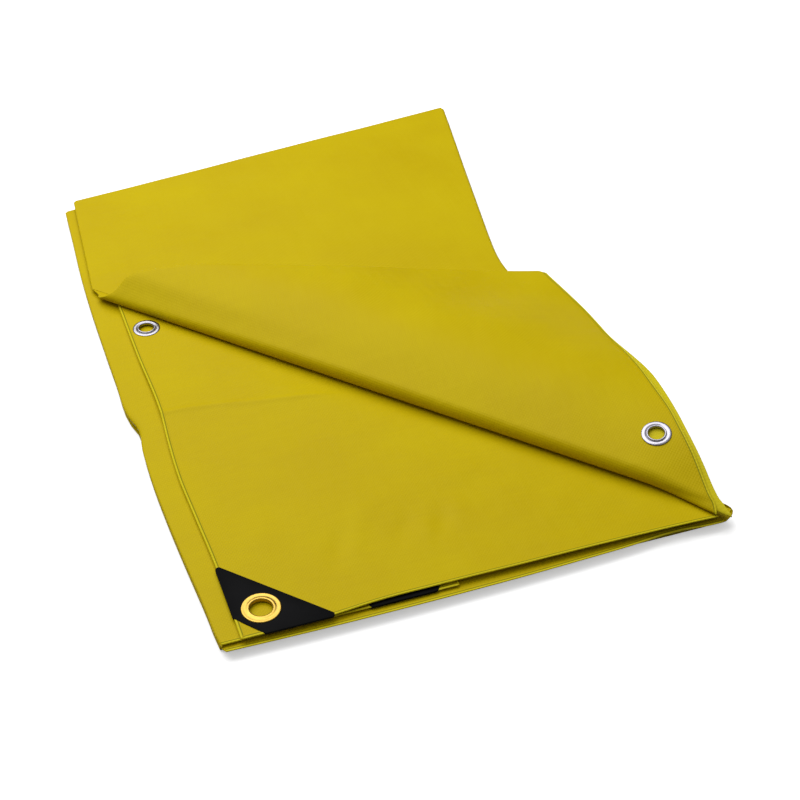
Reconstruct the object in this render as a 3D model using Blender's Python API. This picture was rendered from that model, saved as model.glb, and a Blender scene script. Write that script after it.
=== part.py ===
"""Folded heavy-duty sheet with hemmed edges, corner patches and metal eyelets.

The flat sheet (about 1.80 m x 1.92 m) is folded lengthwise into a strip of five
plies, and the strip is folded across into three lengths.  The uppermost length
is modelled ply by ply.  Its near-left corner, two plies thick, is turned back
over a diagonal roll.  Metres, +Z up, +X along the near edge, +Y to the far fold.
"""
import math

import bmesh
import bpy
from mathutils import Matrix, Vector

MM = 0.001

# ---- Driving dimensions -------------------------------------------------
LEFT_BOW = 10.3 * MM            # how far the left edge bows out
LEFT_BOW_SPAN = 665 * MM
LEFT_LAST = 629.5 * MM          # where the lower plies' left edge ends
WAIST = Vector((376.1 * MM, 399.3 * MM))    # the right edge turns here
WAIST_ROUND = 21 * MM
RIGHT_LEAN = 0.0519
RIGHT_SPREAD = 0.1391
NEAR_BULGE = 11 * MM            # the base's fold stands out at the near-right corner
NEAR_BULGE_Y = 10 * MM
FAR_LEFT = Vector((10 * MM, 641 * MM))
FAR_RIGHT = Vector((433 * MM, 700 * MM))
REAR_LEFT_START = Vector((-2.3 * MM, 477 * MM))
REAR_NEAR_Y = 45 * MM           # the right folds run from here to the far fold
REAR_NEAR_S = 587.7 * MM
FAR_REACH = 3 * MM              # how far the far cross fold bulges
FAR_INSET = 4.6 * MM            # from its outermost line to the flat plies
FAR_FOLD_ENDS = 0.004           # part of its length left free at each end
ROW = 20 * MM                   # spacing of the points along the side edges

CLOTH = 0.5 * MM                # one ply, with the air it holds
HEM = 0.9 * MM                  # doubled margin
HEM_WIDTH = 36 * MM
PATCH = 0.35 * MM
GAP = 0.3 * MM
HARDWARE_GAP = 0.15 * MM
ROUND_SEGMENTS = 32

PAD = 3.6 * MM                  # five plies pressed together
PAD_NEAR = 13 * MM              # set-back of the near cross fold
PAD_INSET = 5 * MM

# Heights of the lower face of each ply in the uppermost length.
BASE_Z = 8.0 * MM
SHORT_Z = 10.5 * MM
FACE_Z = 13.3 * MM
REAR_INNER_Z = 14.2 * MM
REAR_OUTER_Z = 15.0 * MM
HEM_DROP = 0.2 * MM             # a hem hangs this much below its ply's lower face

SHORT_RIGHT = 186 * MM          # free edge of the short ply
FACE_LEFT = 16 * MM             # left hem edge of the face ply
FACE_NEAR = 5.5 * MM
SHORT_NEAR = 5 * MM

# How far each fold's flat plies stop short of its outermost line.
LEFT_INSET = 1.9 * MM
OUTER_INSET = 3.3 * MM
INNER_INSET = 5.5 * MM

# Diagonal roll and turned-back flap, in its own frame: s runs along the roll
# from the left edge to the near-right corner, t runs away from the roll.
ROLL_START = Vector((2.4 * MM, 465.6 * MM))
ROLL_ANGLE = math.radians(-47.6)
ROLL_RADIUS = 9 * MM
ROLL_END = math.radians(108.7)  # where the roll runs on into the flap
FLAP_CREST = 14 * MM
FLAP_CREST_T = 65 * MM
FLAP_DROP = 26 * MM
FLAP_LENGTH = 227.5 * MM
UNDER_DEPTH = 2.4 * MM          # from the face ply's outer side to the under ply
REAR_SETBACK = 5.5 * MM         # the rear plies stop short of the turning roll
FLAP_FOLD = 1.0 * MM            # width of the two flap plies' folded edge

# The flap's edges along the roll, in mm: distance round the roll and over the
# flap, then the folded edge, the face ply's hem and the under ply's hem.
FLAP_STATIONS = (
    (0.0, -1.0, 606.0, 617.0), (6.3, 0.6, 608.5, 620.0), (12.7, 6.0, 608.0, 619.0),
    (19.0, 12.0, 604.5, 613.0), (25.3, 16.5, 598.5, 605.5), (46.3, 26.5, 578.5, 584.0),
    (67.2, 55.5, 557.5, 563.0), (88.2, 90.0, 538.0, 544.5), (109.1, 131.5, 516.5, 526.0),
    (130.1, 166.5, 496.0, 506.0), (151.0, 197.0, 474.0, 481.0), (171.9, 223.5, 450.5, 455.0),
    (192.9, 250.0, 429.5, 432.5), (213.8, 279.0, 407.5, 409.5), (234.8, 313.0, 381.5, 383.0),
    (255.7, 348.0, 351.5, 352.0),
)

BRASS_AT = Vector((37.6 * MM, 29.0 * MM))
SHORT_BRASS_IN = Vector((24 * MM, 24 * MM))
STEEL_LEFT_AT = Vector((32.8 * MM, 402.4 * MM))
STEEL_FLAP_ST = (539.7 * MM, 28 * MM)

BRASS = {"flange": 15.2 * MM, "bore": 8.5 * MM, "barrel": 9.2 * MM, "height": 1.1 * MM}
STEEL = {"flange": 12.3 * MM, "bore": 6.5 * MM, "barrel": 7.2 * MM, "height": 1.0 * MM}
LOW_BRASS_HEIGHT = 0.65 * MM    # the eyelet pressed flat under the face ply
WASHER = 0.35 * MM
LIP = 0.3 * MM
LIP_GAP = 0.05 * MM

PATCH_LEGS = (70 * MM, 76 * MM)
PATCH_CUT = (18 * MM, 22 * MM)
POCKET_REACH = 0.12


# ---- Scene and materials ------------------------------------------------
def clear_scene():
    for item in list(bpy.data.objects):
        bpy.data.objects.remove(item, do_unlink=True)


def material(name, colour, roughness, metallic=0.0):
    made = bpy.data.materials.new(name)
    made.use_nodes = True
    shader = made.node_tree.nodes["Principled BSDF"]
    shader.inputs["Base Color"].default_value = (*colour, 1.0)
    shader.inputs["Roughness"].default_value = roughness
    shader.inputs["Metallic"].default_value = metallic
    made.diffuse_color = (*colour, 1.0)
    return made


COLOURS = {
    "cloth": ((0.60, 0.43, 0.004), 0.55, 0.0),
    "hem": ((0.62, 0.50, 0.01), 0.50, 0.0),
    "patch": ((0.012, 0.012, 0.013), 0.45, 0.0),
    "brass": ((0.78, 0.56, 0.22), 0.28, 1.0),
    "steel": ((0.68, 0.67, 0.70), 0.30, 1.0),
}


def new_object(name, mesh, kind):
    """Link a mesh as a named sub-part with a material of its own."""
    made = bpy.data.objects.new(name, mesh)
    bpy.context.scene.collection.objects.link(made)
    colour, roughness, metallic = COLOURS[kind]
    mesh.materials.append(material(name, colour, roughness, metallic))
    return made


def mesh_from(verts, faces, name):
    mesh = bpy.data.meshes.new(name)
    mesh.from_pydata([tuple(v) for v in verts], [], faces)
    shape = bmesh.new()
    shape.from_mesh(mesh)
    bmesh.ops.recalc_face_normals(shape, faces=shape.faces)
    shape.to_mesh(mesh)
    shape.free()
    mesh.update()
    return mesh


# ---- Shapes -------------------------------------------------------------
def plate(name, outline, low, high, kind="cloth"):
    """A flat panel: an outline in plan, raised from low to high."""
    count = len(outline)
    verts = [(x, y, low) for x, y in outline] + [(x, y, high) for x, y in outline]
    faces = [tuple(range(count))[::-1], tuple(range(count, 2 * count))]
    for i in range(count):
        j = (i + 1) % count
        faces.append((i, j, j + count, i + count))
    return new_object(name, mesh_from(verts, faces, name), kind)


def loft(name, rings, kind, closed_path=False):
    """A closed body through rings of equal point count."""
    count = len(rings[0])
    verts = [point for ring in rings for point in ring]
    faces = []
    last = len(rings) if closed_path else len(rings) - 1
    for i in range(last):
        a = i * count
        b = ((i + 1) % len(rings)) * count
        for k in range(count):
            n = (k + 1) % count
            faces.append((a + k, a + n, b + n, b + k))
    if not closed_path:
        faces.append(tuple(range(count))[::-1])
        faces.append(tuple(range((len(rings) - 1) * count, len(rings) * count)))
    return new_object(name, mesh_from(verts, faces, name), kind)


def edge_fold(name, path, reach, low, high, steps=8):
    """The cloth going round an edge: half a ring swept along a path in plan.

    The ring bulges by reach to the right-hand side of the path's direction.
    """
    middle = (low + high) / 2
    rise = (high - low) / 2
    rings = []
    for i, point in enumerate(path):
        ahead = path[min(i + 1, len(path) - 1)]
        behind = path[max(i - 1, 0)]
        along = (ahead - behind).normalized()
        side = Vector((along.y, -along.x))
        ring = []
        for inner in (False, True):
            for k in range(steps + 1):
                turn = -math.pi / 2 + math.pi * (steps - k if inner else k) / steps
                out = (reach - (CLOTH if inner else 0)) * math.cos(turn)
                up = (rise - (CLOTH if inner else 0)) * math.sin(turn)
                place = point + side * out
                ring.append((place.x, place.y, middle + up))
        rings.append(ring)
    return loft(name, rings, "cloth")


def turned(name, profile, kind):
    """A ring turned about its own Z axis from a closed profile of (radius, height)."""
    rings = []
    for i in range(ROUND_SEGMENTS):
        turn = 2 * math.pi * i / ROUND_SEGMENTS
        rings.append([(r * math.cos(turn), r * math.sin(turn), z) for r, z in profile])
    made = loft(name, rings, kind, closed_path=True)
    made.data.shade_smooth()
    made.data.set_sharp_from_angle(angle=math.radians(35))
    return made


def cut(target, cutters, label):
    """Take the cutters away from the target with exact Booleans."""
    for i, cutter in enumerate(cutters):
        cutter.hide_render = True
        cutter.display_type = "WIRE"
        step = target.modifiers.new(f"{label}_{i}", "BOOLEAN")
        step.operation = "DIFFERENCE"
        step.solver = "EXACT"
        step.object = cutter


def hole_cutter(name, radius, place, reach=6 * MM):
    """A round cutter along the local Z axis of a placement matrix."""
    mesh = bpy.data.meshes.new(name)
    shape = bmesh.new()
    bmesh.ops.create_cone(shape, cap_ends=True, segments=ROUND_SEGMENTS,
                          radius1=radius, radius2=radius, depth=2 * reach)
    shape.to_mesh(mesh)
    shape.free()
    made = bpy.data.objects.new(name, mesh)
    bpy.context.scene.collection.objects.link(made)
    made.matrix_world = place
    return made


# ---- Plan outlines ------------------------------------------------------
def left_edge(y):
    return -LEFT_BOW * math.sin(math.pi * y / LEFT_BOW_SPAN)


def right_edge(y):
    away = y - WAIST.y
    return WAIST.x + RIGHT_LEAN * away + RIGHT_SPREAD * math.hypot(away, WAIST_ROUND)


def base_right(y):
    """The right edge of the base ply, with its bulge at the near corner."""
    part = (y / NEAR_BULGE_Y) ** 2
    return right_edge(y) + NEAR_BULGE * part * math.exp(1 - part)


def far_edge(x):
    part = (x - FAR_LEFT.x) / (FAR_RIGHT.x - FAR_LEFT.x)
    return FAR_LEFT.y + part * (FAR_RIGHT.y - FAR_LEFT.y)


def steps(first, last, count):
    return [first + (last - first) * i / (count - 1) for i in range(count)]


def rows(first, last):
    """Stations shared by all side edges, so that neighbours stay parallel."""
    between = [ROW * i for i in range(1, int(last / ROW) + 1)]
    return [first, *[y for y in between if first + MM < y < last - MM], last]


def side_path(edge, first, last, inset):
    """Points along a side edge, moved inwards by inset."""
    return [Vector((edge(y) + inset, y)) for y in rows(first, last)]


def panel_outline(left, right, near, far_inset, left_far=None):
    """A panel between two side curves, from a near line to the far fold."""
    right_far = far_edge(right(FAR_RIGHT.y)) - far_inset
    if left_far is None:
        left_far = far_edge(left(FAR_LEFT.y)) - far_inset
    points = [(right(y), y) for y in rows(near, right_far)]
    points += [(left(y), y) for y in reversed(rows(near, left_far))]
    return points


# ---- Hardware -----------------------------------------------------------
def eyelet_profile(size, seat, grip):
    """Flange above the seat, barrel through the grip, rolled lip underneath."""
    bore = size["bore"]
    barrel = size["barrel"]
    flange = size["flange"]
    top = seat + size["height"]
    foot = seat - grip
    return [
        (bore, foot + 0.1 * MM), (bore, top - 0.3 * MM), (bore + 0.4 * MM, top),
        (bore + 1.3 * MM, top), (bore + 1.9 * MM, top - 0.3 * MM),
        (flange - 2.0 * MM, top - 0.25 * MM), (flange - 0.6 * MM, seat + 0.5 * MM),
        (flange, seat + 0.2 * MM), (flange, seat), (barrel, seat),
        (barrel, foot + LIP), (barrel + 1.2 * MM, foot + LIP),
        (barrel + 1.2 * MM, foot), (bore + 0.2 * MM, foot),
    ]


def eyelet_set(tag, kind, size, place, above, below):
    """Eyelet and washer clamping a stack from -below to +above of the placement."""
    seat = above + HARDWARE_GAP
    washer_top = -below - HARDWARE_GAP
    washer_low = washer_top - WASHER
    lip_low = washer_low - LIP_GAP - LIP
    ring = turned(f"{kind}_eyelet_{tag}", eyelet_profile(size, seat, seat - lip_low), kind)
    inner = size["barrel"] + GAP
    outer = size["flange"] - 0.4 * MM
    washer = turned(f"{kind}_washer_{tag}", [
        (inner, washer_low), (inner, washer_top), (outer, washer_top), (outer, washer_low),
    ], kind)
    ring.matrix_world = place
    washer.matrix_world = place
    return ring, washer


def corner_patch(name, corner, side, low, high):
    """Moulded corner piece wrapped round two edges, its very tip left open.

    side is +1 when the sheet runs to +X from the corner, -1 when it runs to -X.
    low and high are the faces of the hem that the patch wraps.
    """
    out = HARDWARE_GAP + PATCH
    leg_x, leg_y = PATCH_LEGS
    cut_x, cut_y = PATCH_CUT
    outline = [(-out, cut_y), (cut_x, -out), (leg_x, -out), (-out, leg_y)]
    outline = [(corner.x + side * x, corner.y + y) for x, y in outline]
    body = plate(name, outline, low - out, high + out, "patch")
    start = -HARDWARE_GAP
    reach = POCKET_REACH
    box = [(start, start), (reach, start), (reach, reach), (start, reach)]
    box = [(corner.x + side * x, corner.y + y) for x, y in box]
    pocket = plate(name + "_pocket", box, low - HARDWARE_GAP, high + HARDWARE_GAP, "patch")
    cut(body, [pocket], "pocket")
    return body


# ---- Flap surface -------------------------------------------------------
ROLL_ALONG = Vector((math.cos(ROLL_ANGLE), math.sin(ROLL_ANGLE), 0.0))
ROLL_AWAY = Vector((-math.sin(ROLL_ANGLE), math.cos(ROLL_ANGLE), 0.0))
ROLL_Z = REAR_INNER_Z + ROLL_RADIUS
ROLL_ARC = ROLL_RADIUS * (math.radians(270) - ROLL_END)
FLAP_START_T = ROLL_RADIUS * math.cos(ROLL_END)
FLAP_START_Z = ROLL_Z + ROLL_RADIUS * math.sin(ROLL_END)


def flap_profile(w):
    """Cross-section of the turned-back cloth: (t, z, slope angle) at distance w."""
    if w <= ROLL_ARC:
        turn = math.radians(270) - w / ROLL_RADIUS
        t = ROLL_RADIUS * math.cos(turn)
        z = ROLL_Z + ROLL_RADIUS * math.sin(turn)
        return t, z, turn - math.pi / 2
    t = FLAP_START_T + (w - ROLL_ARC)
    rise_span = FLAP_CREST_T - FLAP_START_T
    if t < FLAP_CREST_T:
        phase = math.pi / 2 * (t - FLAP_START_T) / rise_span
        z = FLAP_START_Z + FLAP_CREST * math.sin(phase)
        slope = FLAP_CREST * math.pi / 2 / rise_span * math.cos(phase)
    else:
        fall_span = FLAP_LENGTH - FLAP_CREST_T
        phase = math.pi * (t - FLAP_CREST_T) / fall_span
        z = FLAP_START_Z + FLAP_CREST - FLAP_DROP * (1 - math.cos(phase)) / 2
        slope = -FLAP_DROP / 2 * math.pi / fall_span * math.sin(phase)
    return t, z, math.atan(slope)


FLAP_END_W = ROLL_ARC + FLAP_LENGTH - FLAP_START_T
FLAP_ROWS = [ROLL_ARC * i / 8 for i in range(8)]
FLAP_ROWS += [ROLL_ARC + (FLAP_END_W - ROLL_ARC) * i / 22 for i in range(22)]


def station(w, column):
    """Look up one of the flap's edges at distance w, straight between stations."""
    for first, second in zip(FLAP_STATIONS, FLAP_STATIONS[1:]):
        if w <= second[0] * MM:
            break
    part = (w / MM - first[0]) / (second[0] - first[0])
    return (first[column] + part * (second[column] - first[column])) * MM


def flap_left(w):
    """Where the flap's folded edge lies along the roll."""
    return station(w, 1)


def flap_right(w):
    """Where the face ply's hemmed edge lies along the roll."""
    return station(w, 2)


def under_right(w):
    """Where the under ply's hemmed edge lies along the roll."""
    return station(w, 3)


def flap_point(s, w, depth):
    t, z, slope = flap_profile(w)
    inward_t = t + depth * math.sin(slope)
    inward_z = z - depth * math.cos(slope)
    place = ROLL_START.to_3d() + ROLL_ALONG * s + ROLL_AWAY * inward_t
    return Vector((place.x, place.y, inward_z))


def flap_shell(name, left, right, w_last, outer, inner, across, kind):
    """A curved panel of the flap between two edge curves and two depths."""
    rings = []
    for w in [row for row in FLAP_ROWS if row < w_last - MM] + [w_last]:
        marks = steps(left(w), right(w), across)
        ring = [flap_point(s, w, outer) for s in marks]
        ring += [flap_point(s, w, inner) for s in reversed(marks)]
        rings.append(ring)
    return loft(name, rings, kind)


# ---- Assembly -----------------------------------------------------------
def lower_lengths():
    def left(y):
        return left_edge(y) + 1.5 * MM

    def right(y):
        return right_edge(y) - 8 * MM

    outline = panel_outline(left, right, PAD_NEAR, PAD_INSET, LEFT_LAST)
    plate("bottom_length", outline, 0.0, PAD)
    plate("middle_length", outline, PAD + GAP, 2 * PAD + GAP)
    near = [Vector((left(0.02), PAD_NEAR - GAP)), Vector((right(0.02), PAD_NEAR - GAP))]
    edge_fold("near_cross_fold", near, 3 * MM, 0.0, 2 * PAD + GAP)
    far_fold("far_fold_lower", PAD + GAP, 2 * PAD + GAP)


def far_fold(name, low, high):
    """One half of the far cross fold, just inside the fold's outermost line."""
    span = FAR_RIGHT - FAR_LEFT
    inset = Vector((span.y, -span.x)).normalized() * FAR_REACH
    start = FAR_RIGHT + inset - span * FAR_FOLD_ENDS
    end = FAR_LEFT + inset + span * FAR_FOLD_ENDS
    edge_fold(name, [start, end], FAR_REACH, low, high)


def top_plies():
    def left(y):
        return left_edge(y) + LEFT_INSET

    base = panel_outline(left, lambda y: right_edge(y) - OUTER_INSET,
                         HEM_WIDTH + GAP, FAR_INSET, LEFT_LAST)
    plate("base_ply", base, BASE_Z, BASE_Z + CLOTH)
    short = panel_outline(left, lambda y: SHORT_RIGHT - HEM_WIDTH - GAP,
                          SHORT_NEAR + HEM_WIDTH + GAP, FAR_INSET, LEFT_LAST)
    plate("short_ply", short, SHORT_Z, SHORT_Z + CLOTH)
    face = panel_outline(lambda y: FACE_LEFT + HEM_WIDTH + GAP, lambda y: right_edge(y) - INNER_INSET,
                         FACE_NEAR + HEM_WIDTH + GAP, FAR_INSET)
    plate("face_ply", face, FACE_Z, FACE_Z + CLOTH)
    plate("rear_inner_ply", rear_outline(INNER_INSET), REAR_INNER_Z, REAR_INNER_Z + CLOTH)
    plate("rear_outer_ply", rear_outline(OUTER_INSET), REAR_OUTER_Z, REAR_OUTER_Z + CLOTH)


def rear_left_edge(y):
    part = (y - REAR_LEFT_START.y) / (FAR_LEFT.y - REAR_LEFT_START.y)
    return REAR_LEFT_START.x + part * (FAR_LEFT.x - REAR_LEFT_START.x)


def rear_outline(right_inset):
    """The two rear plies: everything behind the diagonal roll."""
    line = ROLL_START + ROLL_AWAY.to_2d() * REAR_SETBACK
    near_right = line + ROLL_ALONG.to_2d() * REAR_NEAR_S
    right_far = far_edge(right_edge(FAR_RIGHT.y)) - FAR_INSET
    left_far = far_edge(rear_left_edge(FAR_LEFT.y)) - FAR_INSET
    points = [tuple(near_right)]
    points += [(right_edge(y) - right_inset, y) for y in rows(REAR_NEAR_Y, right_far)]
    points += [(rear_left_edge(y) + 1.6 * MM, y) for y in (left_far, REAR_LEFT_START.y)]
    return points


def side_folds():
    left = side_path(left_edge, 0.5 * MM, LEFT_LAST, 1.6 * MM)
    edge_fold("left_edge_fold", left[::-1], 1.6 * MM, BASE_Z, SHORT_Z + CLOTH)
    rear_left = side_path(rear_left_edge, REAR_LEFT_START.y, FAR_LEFT.y - FAR_INSET, 1.3 * MM)
    edge_fold("rear_left_fold", rear_left[::-1], 1.0 * MM, REAR_INNER_Z, REAR_OUTER_Z + CLOTH)
    last = far_edge(right_edge(FAR_RIGHT.y)) - FAR_INSET
    inner = side_path(right_edge, REAR_NEAR_Y, last, -INNER_INSET + GAP)
    edge_fold("right_inner_fold", inner, 1.0 * MM, FACE_Z, REAR_INNER_Z + CLOTH)
    outer = side_path(right_edge, REAR_NEAR_Y, last, -OUTER_INSET + GAP)
    edge_fold("right_outer_fold", outer, OUTER_INSET - GAP, BASE_Z, REAR_OUTER_Z + CLOTH)
    far_fold("far_fold_upper", BASE_Z, REAR_OUTER_Z + CLOTH)


def flat(x, y, z):
    return Matrix.Translation((x, y, z))


def hems():
    """Doubled margins of the three plies whose edges lie at the near end."""
    made = {}
    low = FACE_Z - HEM_DROP
    left_far = far_edge(FACE_LEFT) - FAR_INSET
    made["face_left"] = plate("face_left_hem", [
        (FACE_LEFT, FACE_NEAR), (FACE_LEFT + HEM_WIDTH, FACE_NEAR),
        (FACE_LEFT + HEM_WIDTH, left_far), (FACE_LEFT, left_far)], low, low + HEM, "hem")
    made["face_near"] = plate("face_near_hem", [
        (FACE_LEFT + HEM_WIDTH + GAP, FACE_NEAR), (right_edge(FACE_NEAR) - INNER_INSET, FACE_NEAR),
        (right_edge(FACE_NEAR + HEM_WIDTH) - INNER_INSET, FACE_NEAR + HEM_WIDTH),
        (FACE_LEFT + HEM_WIDTH + GAP, FACE_NEAR + HEM_WIDTH)], low, low + HEM, "hem")
    low = SHORT_Z - HEM_DROP
    short_far = far_edge(SHORT_RIGHT - HEM_WIDTH) - FAR_INSET
    made["short_free"] = plate("short_free_hem", [
        (SHORT_RIGHT - HEM_WIDTH, SHORT_NEAR), (SHORT_RIGHT, SHORT_NEAR),
        (SHORT_RIGHT, short_far), (SHORT_RIGHT - HEM_WIDTH, short_far)], low, low + HEM, "hem")
    inner = left_edge(0.0) + LEFT_INSET
    made["short_near"] = plate("short_near_hem", [
        (inner, SHORT_NEAR), (SHORT_RIGHT - HEM_WIDTH - GAP, SHORT_NEAR),
        (SHORT_RIGHT - HEM_WIDTH - GAP, SHORT_NEAR + HEM_WIDTH),
        (inner, SHORT_NEAR + HEM_WIDTH)], low, low + HEM, "hem")
    low = BASE_Z - HEM_DROP
    right_side = [(base_right(y) - OUTER_INSET, y) for y in steps(0.0, HEM_WIDTH, 10)]
    made["base_near"] = plate("base_near_hem", [
        (inner, 0.0), *right_side, (inner, HEM_WIDTH)], low, low + HEM, "hem")
    return made


def face_corner(hem_parts):
    """Patch and brass eyelet at the near-left corner of the face ply."""
    low = FACE_Z - HEM_DROP
    high = low + HEM
    patch = corner_patch("corner_patch_face", Vector((FACE_LEFT, FACE_NEAR)), 1, low, high)
    place = flat(BRASS_AT.x, BRASS_AT.y, high)
    wrap = PATCH + HARDWARE_GAP
    eyelet_set("face", "brass", BRASS, place, wrap, HEM + wrap)
    for part, label in ((patch, "eyelet"), (hem_parts["face_left"], "eyelet")):
        cut(part, [hole_cutter(part.name + "_hole", BRASS["barrel"] + GAP, place)], label)


def short_corner(hem_parts):
    """Patch and brass eyelet at the near-right corner of the short ply."""
    low = SHORT_Z - HEM_DROP
    high = low + HEM
    corner = Vector((SHORT_RIGHT, SHORT_NEAR))
    patch = corner_patch("corner_patch_short", corner, -1, low, high)
    place = flat(corner.x - SHORT_BRASS_IN.x, corner.y + SHORT_BRASS_IN.y, high)
    wrap = PATCH + HARDWARE_GAP
    flatter = dict(BRASS, height=LOW_BRASS_HEIGHT)
    eyelet_set("short", "brass", flatter, place, wrap, HEM + wrap)
    for part in (patch, hem_parts["short_free"]):
        cut(part, [hole_cutter(part.name + "_hole", BRASS["barrel"] + GAP, place)], "eyelet")


def left_steel(hem_parts):
    high = FACE_Z - HEM_DROP + HEM
    place = flat(STEEL_LEFT_AT.x, STEEL_LEFT_AT.y, high)
    eyelet_set("left", "steel", STEEL, place, 0.0, HEM)
    part = hem_parts["face_left"]
    cut(part, [hole_cutter("steel_left_hole", STEEL["barrel"] + GAP, place)], "steel")


def flap_w(t):
    return ROLL_ARC + t - FLAP_START_T


def flap_frame(s, t):
    """Placement on the flap's outer face: Z along its outward normal."""
    slope = flap_profile(flap_w(t))[2]
    place = flap_point(s, flap_w(t), 0.0)
    across = ROLL_AWAY * math.cos(slope) + Vector((0, 0, math.sin(slope)))
    normal = ROLL_ALONG.cross(across)
    frame = Matrix((ROLL_ALONG, across, normal)).transposed().to_4x4()
    return Matrix.Translation(place) @ frame


def flap():
    """The turned-back corner: two plies, their folded edge and their hems."""
    fall = (flap_right(ROLL_ARC) - flap_right(FLAP_END_W)) / (FLAP_END_W - ROLL_ARC)
    band = HEM_WIDTH * math.hypot(1.0, fall)

    def last_with(width):
        w = FLAP_END_W
        while flap_right(w) - flap_left(w) < width:
            w -= MM
        return w

    def ply_left(w):
        return flap_left(w) + FLAP_FOLD + GAP

    def hem_left(w):
        return max(flap_right(w) - band, ply_left(w))

    def under_hem_left(w):
        return max(under_right(w) - band, ply_left(w))

    ply_last = last_with(band + 5 * MM)
    hem_last = last_with(5 * MM)
    flap_shell("flap_face_ply", ply_left, lambda w: hem_left(w) - GAP,
               ply_last, HEM_DROP, HEM_DROP + CLOTH, 7, "cloth")
    face_hem = flap_shell("flap_face_hem", hem_left, flap_right, hem_last, 0.0, HEM, 4, "hem")
    under = UNDER_DEPTH + HEM_DROP
    flap_shell("flap_under_ply", ply_left, lambda w: under_hem_left(w) - GAP,
               ply_last, under, under + CLOTH, 7, "cloth")
    flap_shell("flap_under_hem", under_hem_left, under_right,
               hem_last, UNDER_DEPTH, UNDER_DEPTH + HEM, 4, "hem")
    flap_shell("flap_left_fold", flap_left, lambda w: flap_left(w) + FLAP_FOLD,
               hem_last, HEM_DROP, under + CLOTH, 2, "cloth")
    place = flap_frame(*STEEL_FLAP_ST)
    eyelet_set("flap", "steel", STEEL, place, 0.0, HEM + 1.6 * GAP)
    cut(face_hem, [hole_cutter("steel_flap_hole", STEEL["barrel"] + GAP, place)], "steel")


def centre_on_origin():
    """Move everything so the bounding box stands centred on the origin."""
    bpy.context.view_layer.update()
    shown = [item for item in bpy.data.objects if not item.hide_render]
    corners = [item.matrix_world @ Vector(c) for item in shown for c in item.bound_box]
    middle_x = (min(c.x for c in corners) + max(c.x for c in corners)) / 2
    middle_y = (min(c.y for c in corners) + max(c.y for c in corners)) / 2
    for item in bpy.data.objects:
        item.matrix_world = Matrix.Translation((-middle_x, -middle_y, 0)) @ item.matrix_world
    print("shift", middle_x, middle_y)


clear_scene()
lower_lengths()
top_plies()
side_folds()
hem_parts = hems()
face_corner(hem_parts)
short_corner(hem_parts)
left_steel(hem_parts)
flap()
centre_on_origin()
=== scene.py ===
"""Detailed model of the folded sheet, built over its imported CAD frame.

Plan coordinates run from the folded sheet's near-left corner, as in the CAD:
+X along the near edge, +Y to the far fold, +Z up, all in metres.
"""
import math

import bpy
import numpy as np
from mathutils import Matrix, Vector


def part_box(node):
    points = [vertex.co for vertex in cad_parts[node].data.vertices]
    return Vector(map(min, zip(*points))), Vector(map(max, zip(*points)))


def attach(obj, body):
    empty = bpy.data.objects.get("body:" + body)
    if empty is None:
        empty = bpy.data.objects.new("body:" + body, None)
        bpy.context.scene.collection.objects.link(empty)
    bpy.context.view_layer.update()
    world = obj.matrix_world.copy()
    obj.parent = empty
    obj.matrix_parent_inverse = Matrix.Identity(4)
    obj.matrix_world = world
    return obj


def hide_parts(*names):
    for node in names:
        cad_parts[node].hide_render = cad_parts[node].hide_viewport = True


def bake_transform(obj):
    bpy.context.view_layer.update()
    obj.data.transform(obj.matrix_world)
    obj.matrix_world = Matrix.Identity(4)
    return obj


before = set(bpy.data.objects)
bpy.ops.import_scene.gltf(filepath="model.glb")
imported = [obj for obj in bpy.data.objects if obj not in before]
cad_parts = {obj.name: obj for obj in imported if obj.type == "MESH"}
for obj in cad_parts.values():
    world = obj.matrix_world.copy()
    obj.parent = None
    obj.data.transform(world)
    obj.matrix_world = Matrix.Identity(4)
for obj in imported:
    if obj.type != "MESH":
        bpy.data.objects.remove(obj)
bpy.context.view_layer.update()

MM = 0.001
FACE_LEFT = 16 * MM
ORIGIN = np.array([FACE_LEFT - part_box("face_left_hem")[0].x, -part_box("base_near_hem")[0].y, 0.0])

# ---- Sizes of the fold, most of them shared with the CAD ----
BASE_Z = 8.25 * MM              # mid-height of each ply in the top length
SHORT_Z = 10.75 * MM
FACE_Z = 13.55 * MM
REAR_INNER_Z = 14.45 * MM
REAR_OUTER_Z = 15.25 * MM
# Mid-heights of the bottom and middle lengths' plies, in mm.
BOTTOM_LEVELS = {"short": 1.05, "base": 0.30, "outer": 3.30, "inner": 2.60, "face": 1.85}
MIDDLE_LEVELS = {"short": 6.45, "base": 7.20, "outer": 4.20, "inner": 4.95, "face": 5.70}
TOP_UNEVEN = 0.45 * MM          # how far the stack's unevenness lifts its plies
LOWER_UNEVEN = 0.25 * MM
CLOTH = 0.42 * MM
HEM_CLOTH = 0.3 * MM
HEM_WIDTH = 36 * MM
# The far fold's ends; the cloth bulges up to about 4 mm past the CAD's straight fold.
FAR_LEFT = np.array([9.4, 642.0]) * MM
FAR_RIGHT = np.array([433.8, 704.4]) * MM
FAR_INSET = 4.6 * MM
LOW_FAR_START = np.array([-1.4, 630.5]) * MM     # the two lowest plies end on their own line
LOW_FAR_SLOPE = 0.1525
SHORT_SETBACK = 2.4 * MM
BASE_SETBACK = 1.8 * MM
SHORT_RIGHT = 186 * MM
WAIST = np.array([376.1, 399.3]) * MM
WAIST_ROUND = 21 * MM
RIGHT_LEAN = 0.0519
RIGHT_SPREAD = 0.1391
OUTER_INSET = 3.3 * MM
INNER_INSET = 5.5 * MM
REAR_LEFT_START = np.array([-2.3, 477.0]) * MM
REAR_RIGHT_Y = 36 * MM          # where the rear plies start on the right edge

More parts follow.
